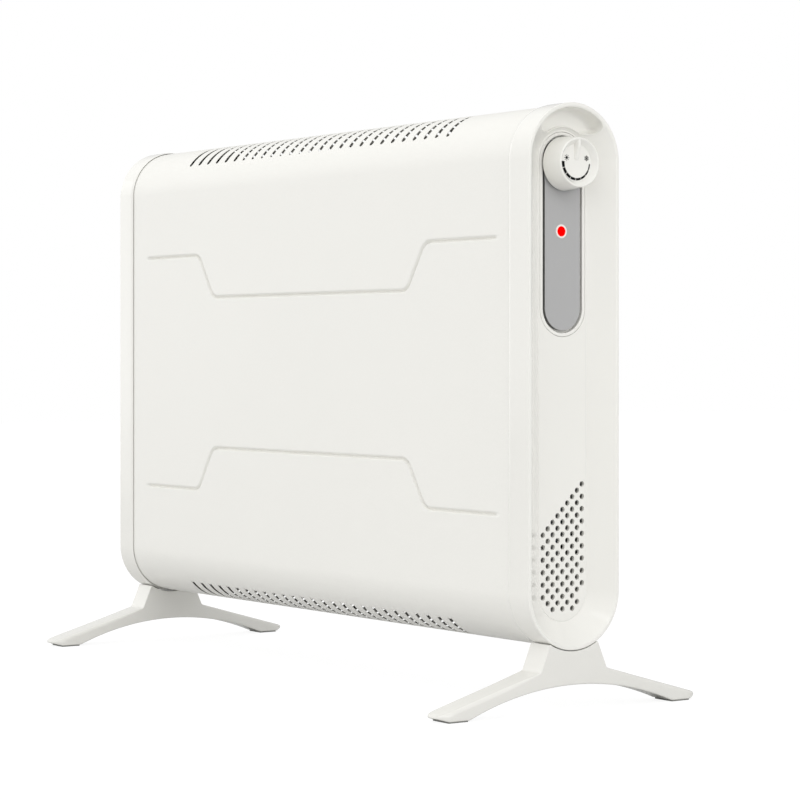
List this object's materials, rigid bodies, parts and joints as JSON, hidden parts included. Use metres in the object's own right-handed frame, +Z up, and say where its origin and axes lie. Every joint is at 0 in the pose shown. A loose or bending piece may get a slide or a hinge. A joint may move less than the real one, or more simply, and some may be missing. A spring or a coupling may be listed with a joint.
{
  "type": "convector heater",
  "caption": "Free-standing convector heater: slotted wrap-around steel case between dished plastic end caps, with a thermostat knob, a lamp and arched feet.",
  "frame": {"origin": "on the floor, under the middle of the overall width and depth", "axes": "+X towards the end with the controls, +Y towards the rear, +Z up"},
  "size_m": [0.5354, 0.21, 0.387],
  "materials": {
    "case_paint": "ivory powder coat, fine orange peel",
    "ivory_plastic": "glossy moulded ivory plastic",
    "grey_plastic": "smooth satin grey",
    "red_lens": "clear red",
    "zinc_steel": "zinc plated sheet",
    "element_steel": "heat-tinted steel",
    "fin_aluminium": "mill finish",
    "ceramic": "unglazed ceramic",
    "phenolic": "dark moulded phenolic",
    "black_plastic": "black nylon",
    "lamp_glass": "clear moulding",
    "wire_brown": "insulation",
    "wire_black": "insulation",
    "wire_red": "insulation",
    "wire_blue": "insulation",
    "wire_green": "insulation",
    "wire_white": "insulation",
    "brass": "plain",
    "rubber_pad": "soft rubber"
  },
  "bodies": {
    "heater": {"front_shell": "case_paint", "rear_panel": "case_paint", "end_cap_right": "ivory_plastic", "end_cap_left": "ivory_plastic", "fascia_tray": "ivory_plastic", "fascia_plate": "grey_plastic", "thermostat_body": "phenolic", "thermostat_nut": "zinc_steel", "indicator_bezel": "ivory_plastic", "indicator_lens": "red_lens", "indicator_lamp": "lamp_glass", "side_plate_right": "zinc_steel", "side_plate_left": "zinc_steel", "heat_shield_front": "zinc_steel", "heat_shield_rear": "zinc_steel", "heating_tube": "element_steel", "heating_fins": "fin_aluminium", "terminal_pins": "element_steel", "ceramic_bushes": "ceramic", "element_bracket": "zinc_steel", "thermal_cutout": "black_plastic", "terminal_block": "ceramic", "wire_live": "wire_brown", "wire_switched": "wire_black", "wire_limited": "wire_red", "wire_neutral": "wire_blue", "wire_earth": "wire_green", "lamp_leads": "wire_white", "earth_screw": "brass", "cord_gland": "black_plastic", "gland_nut": "black_plastic", "foot_right": "ivory_plastic", "foot_left": "ivory_plastic", "foot_pads": "rubber_pad", "foot_screws": "zinc_steel", "cap_screws": "zinc_steel", "rear_panel_screws": "zinc_steel"},
    "knob": {"control_knob": "ivory_plastic", "thermostat_spindle": "zinc_steel"}
  },
  "joints": [
    {"name": "knob_turn", "type": "hinge", "parent": "heater", "child": "knob", "pos_m": [0.25175, 0, 0.3486], "axis": [-1, 0, 0], "range_deg": [0, 300]}
  ]
}
